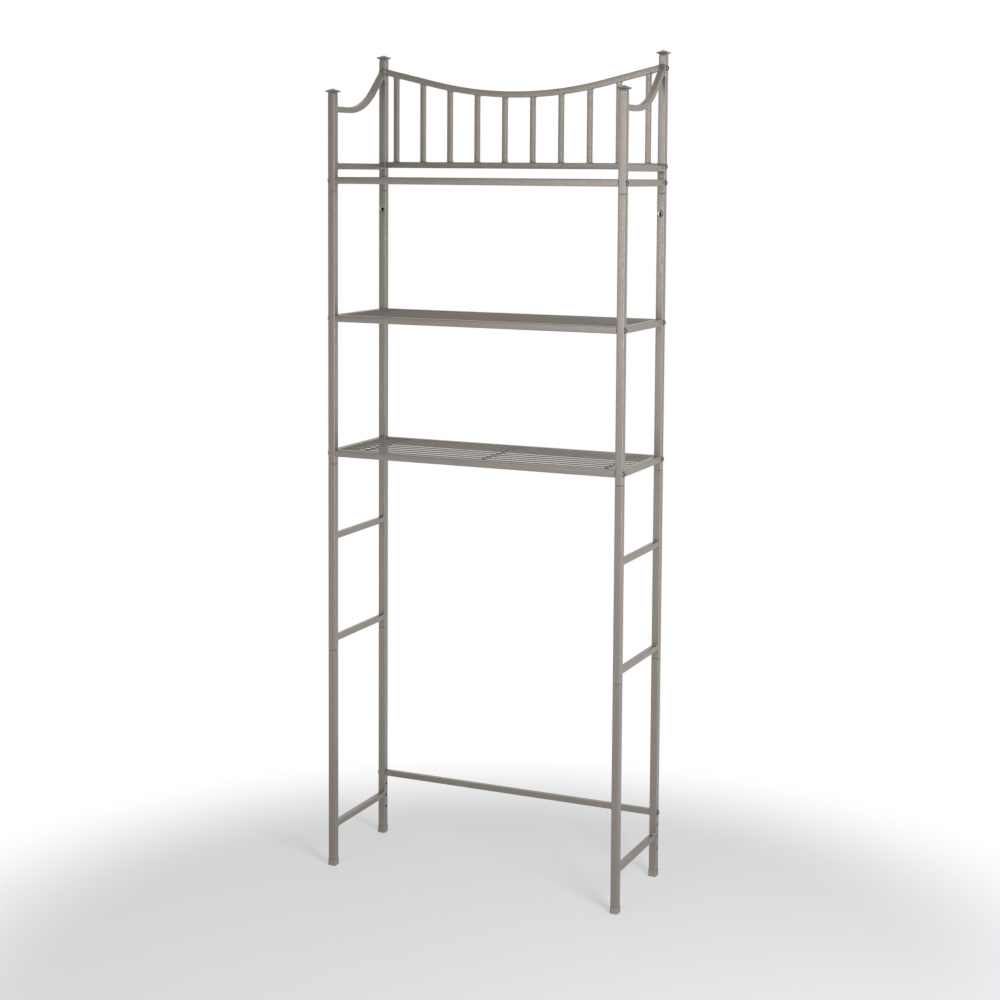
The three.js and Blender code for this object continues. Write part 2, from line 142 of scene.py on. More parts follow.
def addWorld():
    world = bpy.data.worlds.new("studio")
    bpy.context.scene.world = world
    world.use_nodes = True
    tree = world.node_tree
    tree.nodes.clear()
    rays = addNode(tree, "ShaderNodeLightPath")
    seen = addNode(tree, "ShaderNodeMath", {"operation": "MAXIMUM"},
                   {0: rays.outputs["Is Camera Ray"], 1: rays.outputs["Is Transmission Ray"]})
    towards = addNode(tree, "ShaderNodeTexCoord").outputs["Generated"]
    behind = addNode(tree, "ShaderNodeVectorMath", {"operation": "DOT_PRODUCT"}, {0: towards, 1: (0, 1, 0)})
    start, end = studio["roomTurns"]
    room = addNode(tree, "ShaderNodeMapRange", {"interpolation_type": "SMOOTHSTEP"},
                   {"Value": behind.outputs["Value"], "From Min": start, "From Max": end,
                    "To Min": studio["room"], "To Max": 1})
    white = linear(studio["white"])
    dim = addNode(tree, "ShaderNodeBackground", None, {"Color": white, "Strength": studio["fill"]})
    mirrored = addNode(tree, "ShaderNodeBackground", None, {"Color": white, "Strength": room.outputs[0]})
    bright = addNode(tree, "ShaderNodeBackground", None, {"Color": white, "Strength": 1})
    indirect = addNode(tree, "ShaderNodeMixShader", None,
                       {0: rays.outputs["Is Glossy Ray"], 1: dim.outputs[0], 2: mirrored.outputs[0]})
    both = addNode(tree, "ShaderNodeMixShader", None,
                   {0: seen.outputs[0], 1: indirect.outputs[0], 2: bright.outputs[0]})
    addNode(tree, "ShaderNodeOutputWorld", None, {"Surface": both.outputs[0]})


# Pale painted floor, rolled: a faint cloudy grain. Far from the rack it turns into the white background.
def floorPaint():
    material, tree, spot = newMaterial("pale rolled floor paint")
    clouds = addNode(tree, "ShaderNodeTexNoise", None,
                     {"Vector": spot, "Scale": perMetre(studio["floorGrain"]), "Detail": 3})
    shade = addNode(tree, "ShaderNodeMixRGB", None,
                    {"Fac": clouds.outputs["Fac"], "Color1": linear(studio["floor"][0]),
                     "Color2": linear(studio["floor"][1])})
    paint = addNode(tree, "ShaderNodeBsdfPrincipled", None,
                    {"Base Color": shade.outputs[0], "Roughness": studio["floorRoughness"]})
    rays = addNode(tree, "ShaderNodeLightPath")
    seen = addNode(tree, "ShaderNodeMath", {"operation": "MAXIMUM"},
                   {0: rays.outputs["Is Camera Ray"], 1: rays.outputs["Is Glossy Ray"]})
    seen = addNode(tree, "ShaderNodeMath", {"operation": "MAXIMUM"},
                   {0: seen.outputs[0], 1: rays.outputs["Is Transmission Ray"]})
    centre = Vector(studio["floorCentre"]) * mm
    distance = addNode(tree, "ShaderNodeVectorMath", {"operation": "DISTANCE"}, {0: spot, 1: centre})
    start, end = (length * mm for length in studio["floorFade"])
    fade = addNode(tree, "ShaderNodeMapRange", {"interpolation_type": "SMOOTHSTEP"},
                   {"Value": distance.outputs["Value"], "From Min": start, "From Max": end,
                    "To Min": studio["floorGlow"], "To Max": 1})
    share = addNode(tree, "ShaderNodeMath", {"operation": "MULTIPLY"},
                    {0: fade.outputs[0], 1: seen.outputs[0]})
    glow = addNode(tree, "ShaderNodeEmission", None, {"Color": linear(studio["white"]), "Strength": 1})
    both = addNode(tree, "ShaderNodeMixShader", None,
                   {0: share.outputs[0], 1: paint.outputs[0], 2: glow.outputs[0]})
    addNode(tree, "ShaderNodeOutputMaterial", None, {"Surface": both.outputs[0]})
    return material


def addFloor():
    half = studio["floorSize"] * mm / 2
    mesh = bpy.data.meshes.new("floor")
    corners = [(-half, -half, 0), (half, -half, 0), (half, half, 0), (-half, half, 0)]
    mesh.from_pydata(corners, [], [(0, 1, 2, 3)])
    mesh.materials.append(floorPaint())
    floor = bpy.data.objects.new("floor", mesh)
    bpy.context.scene.collection.objects.link(floor)


# A softbox with the power that its level takes at the distance of its aim
def addLamp(name, place, aim, size, level):
    data = bpy.data.lights.new(name, "AREA")
    data.shape = "RECTANGLE"
    data.size, data.size_y = (length * mm for length in size)
    throw = (Vector(aim) - Vector(place)) * mm
    data.energy = math.pi ** 2 * throw.length_squared * level
    lamp = bpy.data.objects.new(name, data)
    turned = throw.to_track_quat("-Z", "Y").to_matrix().to_4x4()
    lamp.matrix_world = Matrix.Translation(Vector(place) * mm) @ turned
    bpy.context.scene.collection.objects.link(lamp)


addWorld()
addFloor()
for name, lamp in lamps.items():
    addLamp(name, **lamp)
print("studio ready")


# ---- finishes ----

noiseSpan = (0.3, 0.7)  # nearly all of a noise pattern's values lie between these

# Powder coat with fine metal pigment, sprayed and baked on steel tube: a soft warm grey sheen, faint clouds
# where the pigment settled, a fine sparkle, and the slight waviness of melted powder
paint = {
    "colour": "#8c857e",
    "cloudColour": "#968f87",
    "flakeColour": "#aba49b",
    "clouds": 55,
    "flakes": 1.1,  # the real flakes are about 0.05 mm; drawn coarser to show
    "flakeEdge": (0.35, 0.05),  # from a flake's centre, where it starts to show and where it shows most
    "flakeShare": 0.5,
    "metal": 0.65,
    "roughness": (0.3, 0.42),
    "glossPatches": 6,
    "waves": 2.4,
    "waveDepth": 0.012,
}


def nickelPowderCoat(name, roughen=1.0, lumps=0.0, tone=1.0):
    shades = [(*[level * tone for level in linear(paint[key])[:3]], 1)
              for key in ("colour", "cloudColour", "flakeColour")]
    material, tree, spot = newMaterial(name)
    clouds = addNode(tree, "ShaderNodeTexNoise", None,
                     {"Vector": spot, "Scale": perMetre(paint["clouds"]), "Detail": 3, "Roughness": 0.55})
    base = addNode(tree, "ShaderNodeMixRGB", None,
                   {"Fac": clouds.outputs["Fac"], "Color1": shades[0], "Color2": shades[1]})
    flakes = addNode(tree, "ShaderNodeTexVoronoi", {"feature": "F1"},
                     {"Vector": spot, "Scale": perMetre(paint["flakes"])})
    start, end = paint["flakeEdge"]
    lit = addNode(tree, "ShaderNodeMapRange", None,
                  {"Value": flakes.outputs["Distance"], "From Min": start, "From Max": end, "To Min": 0,
                   "To Max": paint["flakeShare"]})
    colour = addNode(tree, "ShaderNodeMixRGB", None,
                     {"Fac": lit.outputs[0], "Color1": base.outputs[0], "Color2": shades[2]})
    patches = addNode(tree, "ShaderNodeTexNoise", None,
                      {"Vector": spot, "Scale": perMetre(paint["glossPatches"]), "Detail": 4})
    low, high = (value * roughen for value in paint["roughness"])
    gloss = addNode(tree, "ShaderNodeMapRange", None,
                    {"Value": patches.outputs["Fac"], "From Min": noiseSpan[0], "From Max": noiseSpan[1],
                     "To Min": low, "To Max": high})
    waves = addNode(tree, "ShaderNodeTexNoise", None,
                    {"Vector": spot, "Scale": perMetre(paint["waves"]), "Detail": 2})
    depth = (paint["waveDepth"] + lumps) * mm
    relief = addNode(tree, "ShaderNodeBump", None, {"Height": waves.outputs["Fac"], "Distance": depth})
    surface = addNode(tree, "ShaderNodeBsdfPrincipled", None,
                      {"Base Color": colour.outputs[0], "Metallic": paint["metal"],
                       "Roughness": gloss.outputs[0], "Normal": relief.outputs[0]})
    addNode(tree, "ShaderNodeOutputMaterial", None, {"Surface": surface.outputs[0]})
    return material


# Nickel-plated steel, cold headed and barrel-plated: a burnished dome, with a near-black band painted round
# its rim that fades out up the head: painted shade for the head's shadow and the dark gap under its edge
plating = {
    "colour": "#928d87",
    "dull": "#7a756f",
    "rimShade": "#242120",
    "rimShadeHeight": (0.9, 2.2),  # up the head, where the painted shade at the rim starts to fade and where it is gone
    "mottle": 2.5,
    "roughness": (0.28, 0.4),
}


def platedSteel():
    material, tree, spot = newMaterial("barrel plated headed steel")
    mottle = addNode(tree, "ShaderNodeTexNoise", None,
                     {"Vector": spot, "Scale": perMetre(plating["mottle"]), "Detail": 4})
    colour = addNode(tree, "ShaderNodeMixRGB", None,
                     {"Fac": mottle.outputs["Fac"], "Color1": linear(plating["dull"]),
                      "Color2": linear(plating["colour"])})
    height = addNode(tree, "ShaderNodeSeparateXYZ", None, {0: spot})
    low, high = (value * mm for value in plating["rimShadeHeight"])
    # painted shade: near-black at the head's rim, fading out up the head
    rimShade = addNode(tree, "ShaderNodeMapRange", {"interpolation_type": "SMOOTHSTEP"},
                  {"Value": height.outputs["X"], "From Min": low, "From Max": high})
    colour = addNode(tree, "ShaderNodeMixRGB", None,
                     {"Fac": rimShade.outputs[0], "Color1": linear(plating["rimShade"]), "Color2": colour.outputs[0]})
    low, high = plating["roughness"]
    gloss = addNode(tree, "ShaderNodeMapRange", None,
                    {"Value": mottle.outputs["Fac"], "From Min": noiseSpan[0], "From Max": noiseSpan[1],
                     "To Min": low, "To Max": high})
    surface = addNode(tree, "ShaderNodeBsdfPrincipled", None,
                      {"Base Color": colour.outputs[0], "Metallic": 1, "Roughness": gloss.outputs[0]})
    addNode(tree, "ShaderNodeOutputMaterial", None, {"Surface": surface.outputs[0]})
    return material


# Polyethylene, injection moulded in a spark-eroded tool: dull grey with a fine even pitting
plastic = {
    "colour": "#8c8580",
    "worn": "#958e89",
    "scuffs": 9,
    "pits": 0.7,
    "pitDepth": 0.02,
    "roughness": 0.55,
}


def mouldedPlastic():
    material, tree, spot = newMaterial("moulded polyethylene")
    scuffs = addNode(tree, "ShaderNodeTexNoise", None,
                     {"Vector": spot, "Scale": perMetre(plastic["scuffs"]), "Detail": 5})
    colour = addNode(tree, "ShaderNodeMixRGB", None,
                     {"Fac": scuffs.outputs["Fac"], "Color1": linear(plastic["colour"]),
                      "Color2": linear(plastic["worn"])})
    pits = addNode(tree, "ShaderNodeTexNoise", None,
                   {"Vector": spot, "Scale": perMetre(plastic["pits"]), "Detail": 2})
    relief = addNode(tree, "ShaderNodeBump", None,
                     {"Height": pits.outputs["Fac"], "Distance": plastic["pitDepth"] * mm})
    surface = addNode(tree, "ShaderNodeBsdfPrincipled", None,
                      {"Base Color": colour.outputs[0], "Roughness": plastic["roughness"],
                       "Normal": relief.outputs[0]})
    addNode(tree, "ShaderNodeOutputMaterial", None, {"Surface": surface.outputs[0]})
    return material


# Mild steel, phosphated before it was coated, inside the tubes where powder doesn't reach: dull, and painted
# nearly black, which also paints in the shade deep in each bore and hole
bareShade = {"colour": "#2c2a29", "bloom": "#3d3a37", "blotches": 7, "metal": 0.3, "roughness": 0.75}


def phosphatedSteel():
    material, tree, spot = newMaterial("phosphated steel inside a tube")
    blotches = addNode(tree, "ShaderNodeTexNoise", None,
                       {"Vector": spot, "Scale": perMetre(bareShade["blotches"]), "Detail": 5})
    colour = addNode(tree, "ShaderNodeMixRGB", None,
                     {"Fac": blotches.outputs["Fac"], "Color1": linear(bareShade["colour"]),
                      "Color2": linear(bareShade["bloom"])})
    surface = addNode(tree, "ShaderNodeBsdfPrincipled", None,
                      {"Base Color": colour.outputs[0], "Metallic": bareShade["metal"],
                       "Roughness": bareShade["roughness"]})
    addNode(tree, "ShaderNodeOutputMaterial", None, {"Surface": surface.outputs[0]})
    return material


coat = nickelPowderCoat("nickel powder coat on steel tube")
# Powder melts into a smooth skin over a bead's ripples, which gives small pale glints
weldCoat = nickelPowderCoat("nickel powder coat on a welded bead", roughen=0.65, lumps=0.05)
# The drawing die's fine lines leave a wire a little duller than the tubes
wireCoat = nickelPowderCoat("nickel powder coat on drawn wire", roughen=1.05)
# A darker copy of the tubes' coat for the finials: painted shade for the brim's shadow that darkens each
# collar, spread over the whole cap
shadedCastCoat = nickelPowderCoat("nickel powder coat on a zinc casting", roughen=1.1, tone=0.72)
plated = platedSteel()
moulded = mouldedPlastic()
shadedBareSteel = phosphatedSteel()
print("finishes ready")


# ---- shaping ----

acrossX, acrossY, upward = Vector((1, 0, 0)), Vector((0, 1, 0)), Vector((0, 0, 1))
cornerFacets = 6  # in each rounded corner of a tube
wireFacets = 16
crown = 4.0  # degrees that a tube's faces turn outward from middle to edge, which gives them a soft gradient
easing = ((0, 1), (0.3, 0.3), (1, 0))  # a rounded cut end: along and in, as shares of its rounding
sliver = 0.01  # points that a cut leaves closer than this are merged


# A square outline with rounded corners and crowned faces: each point's place, and its outward direction
def squareOutline(size, corner, perFace=2):
    tilt = math.radians(crown)
    bulge = math.cos(tilt) - math.sin(tilt)
    faceRadius = (size / 2 - corner * bulge) / (1 - bulge)
    flat = (faceRadius - corner) * math.sin(tilt)
    quarterTurn = math.pi / 2
    face = [(tilt * k / perFace, 0) for k in range(perFace)]
    bend = [(tilt + (quarterTurn - 2 * tilt) * k / cornerFacets, 1) for k in range(cornerFacets + 1)]
    nextFace = [(quarterTurn - angle, 2) for angle, _ in face[:0:-1]]
    centres = (size / 2 - faceRadius, 0), (flat, flat), (0, size / 2 - faceRadius)
    radii = faceRadius, corner, faceRadius
    points = []
    for quarter in range(4):
        spun = Matrix.Rotation(quarter * quarterTurn, 2)
        for angle, part in face + bend + nextFace:
            out = Vector((math.cos(angle), math.sin(angle)))
            points.append((spun @ (Vector(centres[part]) + out * radii[part]), spun @ out))
    return points


def roundOutline(diameter, facets=wireFacets):
    angles = [2 * math.pi * k / facets for k in range(facets)]
    outs = [Vector((math.cos(angle), math.sin(angle))) for angle in angles]
    return [(out * diameter / 2, out) for out in outs]


# A ring of points round a bar's axis. across and up are the directions that the outline is drawn in.
# swell says how far out each point is pushed.
def ringOf(outline, origin, across, up, swell=None):
    ring = []
    for point, out in outline:
        grown = point + out * swell(point, out) if swell else point
        ring.append(origin + across * grown.x + up * grown.y)
    return ring


# Skins rings of points into a closed shape. A ring of one point is a tip. Returns the faces of each band.
def skin(shape, rings, loop=False):
    made = [[shape.verts.new(point) for point in ring] for ring in rings]
    bands = []
    for lower, upper in zip(made, made[1:] + made[:1] if loop else made[1:]):
        band = []
        for k in range(max(len(lower), len(upper))):
            after = (k + 1) % max(len(lower), len(upper))
            corners = [lower[k % len(lower)], lower[after % len(lower)], upper[after % len(upper)],
                       upper[k % len(upper)]]
            band.append(shape.faces.new(list(dict.fromkeys(corners))))
        bands.append(band)
    if not loop:
        for ring in (made[0], made[-1]):
            if len(ring) > 2:
                shape.faces.new(ring)
    return bands


# Rounded squares stacked along Z, each given as size, corner and height
def stack(shape, stations, loop=False):
    rings = []
    for size, corner, height in stations:
        outline = squareOutline(size, corner) if size > 0 else [(Vector((0, 0)), Vector((0, 0)))]
        rings.append(ringOf(outline, upward * height, acrossX, acrossY))
    return skin(shape, rings, loop)


# Gives the faces of some bands another of the mesh's materials
def finishBands(bands, index):
    for band in bands:
        for face in band:
            face.material_index = index


# Places spread evenly from -reach to reach
def spread(reach, count):
    return [2 * reach * (k / (count - 1) - 0.5) for k in range(count)]


def boxOf(node):
    low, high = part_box(node)
    return low / mm, high / mm


def middleOf(node):
    low, high = boxOf(node)
    return (low + high) / 2


# Turns a shape into a smooth mesh in metres, with edges that turn by more than sharpAngle degrees left sharp
def asMesh(name, shape, finishes, sharpAngle=34):
    bmesh.ops.recalc_face_normals(shape, faces=shape.faces)
    for edge in shape.edges:
        if len(edge.link_faces) == 2 and edge.calc_face_angle() > math.radians(sharpAngle):
            edge.smooth = False
    for face in shape.faces:
        face.smooth = True
    bmesh.ops.scale(shape, vec=(mm, mm, mm), verts=shape.verts)
    mesh = bpy.data.meshes.new(name)
    shape.to_mesh(mesh)
    shape.free()
    for finish in finishes:
        mesh.materials.append(finish)
    return mesh


# Puts a finished mesh where its CAD node is, to stand for that node
def addPiece(name, mesh, node, place=(0, 0, 0), turn=0):
    piece = bpy.data.objects.new(name, mesh)
    piece.location = Vector(place) * mm
    piece.rotation_euler.z = turn
    bpy.context.scene.collection.objects.link(piece)
    shading = piece.modifiers.new("flat faces stay flat", "WEIGHTED_NORMAL")
    shading.keep_sharp = True
    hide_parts(node)
    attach(piece, "root")


# ---- welds ----

weld = {
    "leg": 3.0,  # how far it reaches along the bar and stands out from it
    "ripple": 1.3,
    "rippleDepth": 0.3,
    "perFace": 6,  # points along each half of a tube's face, enough to carry the ripples
    "profile": ((0, 1), (0.3, 0.93), (0.6, 0.72), (0.85, 0.42), (1, 0)),  # along the bar and out from it
    "stepDrift": 0.35,  # how far the ripples move on from one step of the profile to the next
    "thin": 0.2,  # what is left of the bead on the sides that the torch doesn't reach
    "farSeed": 5.3,  # added for the bead at a bar's far end
}
aboveAndBelow = (Vector((0, 1)), Vector((0, -1)))


# How far a bead stands out from a bar, at one step of its profile, round the bar.
# Here and below, a seed gives each bead ripples of its own.
def beadSwell(step, seed, leg, strong):
    share = weld["profile"][step][1]

    def swell(point, out):
        place = Vector((point.x / weld["ripple"], point.y / weld["ripple"], seed + step * weld["stepDrift"]))
        lumpy = 1 + weld["rippleDepth"] * noise.noise(place)
        facing = max(weld["thin"], *(out.dot(side) for side in strong))
        return leg * share * lumpy * facing

    return swell


# The rings of one welded end of a bar, from the face that it is welded to.
# strong holds the outline directions whose sides carry the main bead.
def weldedEnd(outline, face, along, across, up, seed, strong, leg=weld["leg"]):
    rings = []
    for step, (share, _) in enumerate(weld["profile"]):
        centre = face + along * (share * leg)
        rings.append(ringOf(outline, centre, across, up, beadSwell(step, seed, leg, strong)))
    return rings


# A straight bar welded at both ends, from one point to another
def weldedBar(shape, outline, start, end, across, up, seed):
    along = (end - start).normalized()
    first = weldedEnd(outline, start, along, across, up, seed, aboveAndBelow)
    last = weldedEnd(outline, end, -along, across, up, seed + weld["farSeed"], aboveAndBelow)
    bands = skin(shape, first + last[::-1])
    steps = len(weld["profile"]) - 1
    finishBands(bands[:steps] + bands[-steps:], 1)


# ---- posts ----

post = {
    "wall": 1.0,
    "corner": 1.5,
    "ease": 0.7,  # rounding of the tube's cut end
    "shoulder": 1.3,  # rounding where the tube is swaged in to its neck
    "seam": 0.35,  # gap left where one section sits on the next
    "neckGap": 0.3,
    "boreTaper": 3,  # length over which the bore narrows into the neck
    "easeSteps": 3,
}
# Each reach is where rings of points pass a hole, so that its cut disturbs no more of the tube than that.
# Each lead is how far a cutter starts outside the tube.
brace = {"hole": 6.2, "holeEase": 0.25, "pitch": 25.4, "spares": 3, "reach": 6, "lead": 0.5, "facets": 28}
wallSeat = {
    "drop": 40,
    "hole": 6.5,
    "dish": 13.6,
    "tall": 1.35,  # the dish's height over its width
    "depth": 1.8,
    "wall": 1,  # metal left round the dish, inside the tube
    "steps": 8,
    "reach": 12,
    "lead": 1,
    "facets": 48,
}


# Rounded squares up the outside of a post section, then those back down its bore. rings are the heights where
# both have one more.
def postStations(size, joint, top, rings):
    ease, corner = post["ease"], post["corner"]
    bottom = post["seam"]
    steps = post["easeSteps"]
    bore = size - 2 * post["wall"]
    boreCorner = corner - post["wall"]
    turned = [math.pi / 2 * k / steps for k in range(steps + 1)]
    outside = []
    for angle in turned:
        inset = ease * (1 - math.sin(angle))
        outside.append((size - 2 * inset, corner - inset, bottom + ease * (1 - math.cos(angle))))
    outside += [(size, corner, height) for height in rings]
    if top > joint:
        neck = bore - 2 * post["neckGap"]
        shoulder = post["shoulder"]
        for angle in turned:
            inset = shoulder * (1 - math.cos(angle))
            outside.append((size - 2 * inset, corner - inset, joint - shoulder * (1 - math.sin(angle))))
        outside += [(neck, boreCorner, joint), (neck, boreCorner, top)]
        neckBore = neck - 2 * post["wall"]
        inside = [(neckBore, boreCorner / 2, top), (neckBore, boreCorner / 2, joint),
                  (bore, boreCorner, joint - post["boreTaper"])]
    else:
        outside.append((size, corner, top))
        inside = [(bore, boreCorner, top)]
    return outside, inside + [(bore, boreCorner, height) for height in [*rings[::-1], bottom]]


# A turned cutter or boss along X or Y, from rings given as diameter, distance along the axis and how many
# times taller than wide
def turnedShape(shape, stations, along, centre, facets):
    level = along.cross(upward)
    rings = [ringOf(roundOutline(diameter, facets), centre + along * length, upward * tall, level)
             for diameter, length, tall in stations]
    skin(shape, rings)


# Joins or cuts a mesh with others, one after another
def carved(mesh, name, changes):
    target = bpy.data.objects.new(name, mesh)
    bpy.context.scene.collection.objects.link(target)
    helpers = []
    for operation, other in changes:
        helper = bpy.data.objects.new("helper", other)
        bpy.context.scene.collection.objects.link(helper)
        helpers.append(helper)
        change = target.modifiers.new(operation.lower(), "BOOLEAN")
        change.operation = operation
        change.solver = "EXACT"
        change.object = helper
    ready = target.evaluated_get(bpy.context.evaluated_depsgraph_get())
    shape = bmesh.new()
    shape.from_mesh(ready.to_mesh())
    for used in [target, *helpers]:
        bpy.data.objects.remove(used)
    bmesh.ops.remove_doubles(shape, verts=shape.verts, dist=sliver * mm)
    bmesh.ops.scale(shape, vec=(1 / mm,) * 3, verts=shape.verts)
    return asMesh(name, shape, [coat, shadedBareSteel])


# Drilled right through, with the coat rounding each rim
def spareHoles(size, heights):
    shape = bmesh.new()
    ease, lead = brace["holeEase"], brace["lead"]
    half = size / 2
    wide = brace["hole"] + 2 * ease
    nearEnd = [(wide + 2 * lead, -half - lead, 1), (wide, -half, 1), (brace["hole"], ease - half, 1)]
    farEnd = [(diameter, -length, 1) for diameter, length, _ in nearEnd[::-1]]
    for height in heights:
        turnedShape(shape, nearEnd + farEnd, acrossX, upward * height, brace["facets"])
    return [("DIFFERENCE", asMesh("cutter", shape, []))]


# A boss behind the front wall, then the dish pressed into it and the bore through both walls
def wallSeatChanges(size, height):
    face = -size / 2
    steps = wallSeat["steps"]
    hole, dish, depth = wallSeat["hole"], wallSeat["dish"], wallSeat["depth"]
    wall, lead = wallSeat["wall"], wallSeat["lead"]
    dished = []
    for k in range(steps + 1):
        share = k / steps
        eased = 0.5 - 0.5 * math.cos(math.pi * share)
        tall = wallSeat["tall"] + (1 - wallSeat["tall"]) * share
        dished.append((dish + (hole - dish) * share, face + depth * eased, tall))
    boss = [(dish + wall, face + wall / 2, wallSeat["tall"]), (hole + 2 * wall, face + depth + wall, 1)]
    cutter = [(dish, face - lead, wallSeat["tall"])] + dished + [(hole, lead - face, 1)]
    changes = []
    for operation, stations in (("UNION", boss), ("DIFFERENCE", cutter)):
        shape = bmesh.new()
        turnedShape(shape, stations, acrossY, upward * height, wallSeat["facets"])
        changes.append((operation, asMesh("cutter", shape, [])))
    return changes


def addPosts():
    order = ["bottom", "lower", "middle", "upper"]
    for depth in depths:
        for level, section in enumerate(order):
            node = f"post_{depth}_left_{section}"
            low, high = boxOf(node)
            size = high.x - low.x
            joint = high.z
            if section != "upper":
                joint = boxOf(f"post_{depth}_left_{order[level + 1]}")[0].z
            holes, reach = [], 0
            if depth == "back" and section == "bottom":
                braceLow, braceHigh = boxOf("back_brace")
                braceHeight = (braceLow.z + braceHigh.z) / 2 - low.z
                holes = [braceHeight - k * brace["pitch"] for k in range(brace["spares"], 0, -1)]
                reach = brace["reach"]
            if depth == "back" and section == "middle":
                holes, reach = [joint - wallSeat["drop"] - low.z], wallSeat["reach"]
            rings = [hole + offset for hole in holes for offset in (-reach, reach)]
            shape = bmesh.new()
            outside, inside = postStations(size, joint - low.z, high.z - low.z, rings)
            bands = stack(shape, outside + inside, loop=True)
            # the bore's faces take the nearly black inside steel, which is partly painted shade
            finishBands(bands[len(outside):-1], 1)
            name = f"post_{depth}_{section}"
            mesh = asMesh(name, shape, [coat, shadedBareSteel])
            if depth == "back" and section == "bottom":
                mesh = carved(mesh, name, spareHoles(size, holes))
            if depth == "back" and section == "middle":
                mesh = carved(mesh, name, wallSeatChanges(size, holes[0]))
            for side in sides:
                node = f"post_{depth}_{side}_{section}"
                middle = middleOf(node)
                addPiece(node + "_coated", mesh, node, (middle.x, middle.y, low.z))


addPosts()
print("posts done")


# ---- finials ----

finial = {
    "plugDepth": 12,
    "plugGap": 0.3,
    "plugCorner": 0.6,
    "collarInset": 0.25,
    "collarTaper": 0.5,  # narrower where it meets the post
    "collarEase": 0.3,
    "collarHeight": 3.3,
    "cove": 2.2,
    "coveHollow": 1.3,  # 1 is a straight slope out to the brim
    "brimEdge": 1.9,
    "brimCorner": 1.1,
    "edgeIn": 0.25,  # how far in the brim's edge is rounded and how far up, as shares of its height
    "edgeUp": 0.35,
    "ogee": 0.035,
    "tipCorner": 2.2,  # near the tip, the width over the corners' radius
    "coveSteps": 8,
    "ogeeSteps": 14,
}


def addFinials():
    low, high = boxOf("finial_front_left")
    brim = high.x - low.x
    postLow, postHigh = boxOf("post_front_left_upper")
    size = postHigh.x - postLow.x
    top = high.z - postHigh.z
    plug = size - 2 * post["wall"] - 2 * finial["plugGap"]
    collar = size - 2 * finial["collarInset"]
    collarTop = finial["collarHeight"]
    brimBottom = collarTop + finial["cove"]
    brimTop = brimBottom + finial["brimEdge"]
    corner = finial["brimCorner"]
    foot = collar - 2 * finial["collarTaper"]
    stations = [(plug, finial["plugCorner"], -finial["plugDepth"]), (plug, finial["plugCorner"], 0),
                (foot - finial["collarEase"], corner, 0), (foot, corner, finial["collarEase"]),
                (collar, corner, collarTop)]
    for k in range(1, finial["coveSteps"] + 1):
        share = k / finial["coveSteps"]
        width = collar + (brim - collar) * share ** finial["coveHollow"]
        stations.append((width, corner, collarTop + finial["cove"] * share))
    edgeIn, edgeUp = (finial[key] * finial["brimEdge"] for key in ("edgeIn", "edgeUp"))
    stations[-1] = (brim - 2 * edgeIn, corner - edgeIn, brimBottom)
    stations += [(brim, corner, brimBottom + edgeUp), (brim, corner, brimTop - edgeUp)]
    rise = top - brimTop
    for k in range(finial["ogeeSteps"]):
        share = k / finial["ogeeSteps"]
        width = (brim - 2 * edgeIn) * (1 - share)
        height = rise * (share - finial["ogee"] * math.sin(2 * math.pi * share))
        stations.append((width, min(corner - edgeIn, width / finial["tipCorner"]), brimTop + height))
    stations.append((0, 0, top))
    shape = bmesh.new()
    stack(shape, stations)
    mesh = asMesh("finial", shape, [shadedCastCoat], sharpAngle=40)
    for depth in depths:
        for side in sides:
            node = f"finial_{depth}_{side}"
            middle, tip = middleOf(node), boxOf(node)[1].z
            addPiece(node + "_coated", mesh, node, (middle.x, middle.y, tip - top))


addFinials()
print("finials done")


# ---- foot caps ----

footCap = {"floor": 2.5, "gap": 0.2, "round": 1.5, "lip": 0.25, "draft": 0.12, "steps": 6}


def addFootCaps():
    low, high = boxOf("foot_cap_front_left")
    outside = high.x - low.x
    height = high.z - low.z
    postLow, postHigh = boxOf("post_front_left_bottom")
    bore = postHigh.x - postLow.x + 2 * footCap["gap"]
    wall = (outside - bore) / 2
    boreCorner = post["corner"] + footCap["gap"]
    corner = boreCorner + wall
    stations = []
    for k in range(footCap["steps"] + 1):
        angle = k / footCap["steps"] * math.pi / 2
        inset = footCap["round"] * (1 - math.sin(angle))
        rise = footCap["round"] * (1 - math.cos(angle))
        stations.append((outside - 2 * inset, corner - inset / 2, rise))
    lip = footCap["lip"]
    draft = footCap["draft"]
    stations += [(outside - 2 * draft, corner, height - lip), (outside - 2 * draft - lip, corner, height),
                 (bore + lip, boreCorner, height), (bore, boreCorner, height - lip),
                 (bore, boreCorner, footCap["floor"])]
    shape = bmesh.new()
    stack(shape, stations)
    mesh = asMesh("foot_cap", shape, [moulded])
    for depth in depths:
        for side in sides:
            node = f"foot_cap_{depth}_{side}"
            middle, ground = middleOf(node), boxOf(node)[0].z
            addPiece(node + "_moulded", mesh, node, (middle.x, middle.y, ground))


addFootCaps()
print("foot caps done")


# ---- rungs, side rails and brace ----

ladder = {"corner": 1.2, "railCorner": 1.4, "endRound": 0.4}


def addSideBars(prefix, suffix, corner, seed):
    low, high = boxOf(f"{prefix}_left{suffix}")
    size = high.x - low.x
    half = (high.y - low.y) / 2
    outline = squareOutline(size, corner, weld["perFace"])
    shape = bmesh.new()
    weldedBar(shape, outline, Vector((0, -half, 0)), Vector((0, half, 0)), acrossX, upward, seed)
    mesh = asMesh(f"{prefix}{suffix}", shape, [coat, weldCoat])
    for side in sides:
        node = f"{prefix}_{side}{suffix}"
        addPiece(node + "_coated", mesh, node, middleOf(node))


# The eased first end of a rail that ends free: places along the rail, and how far in its faces are there
def easedEnd(length):
    ease = ladder["endRound"]
    return [(share * ease - length / 2, inward * ease) for share, inward in easing]


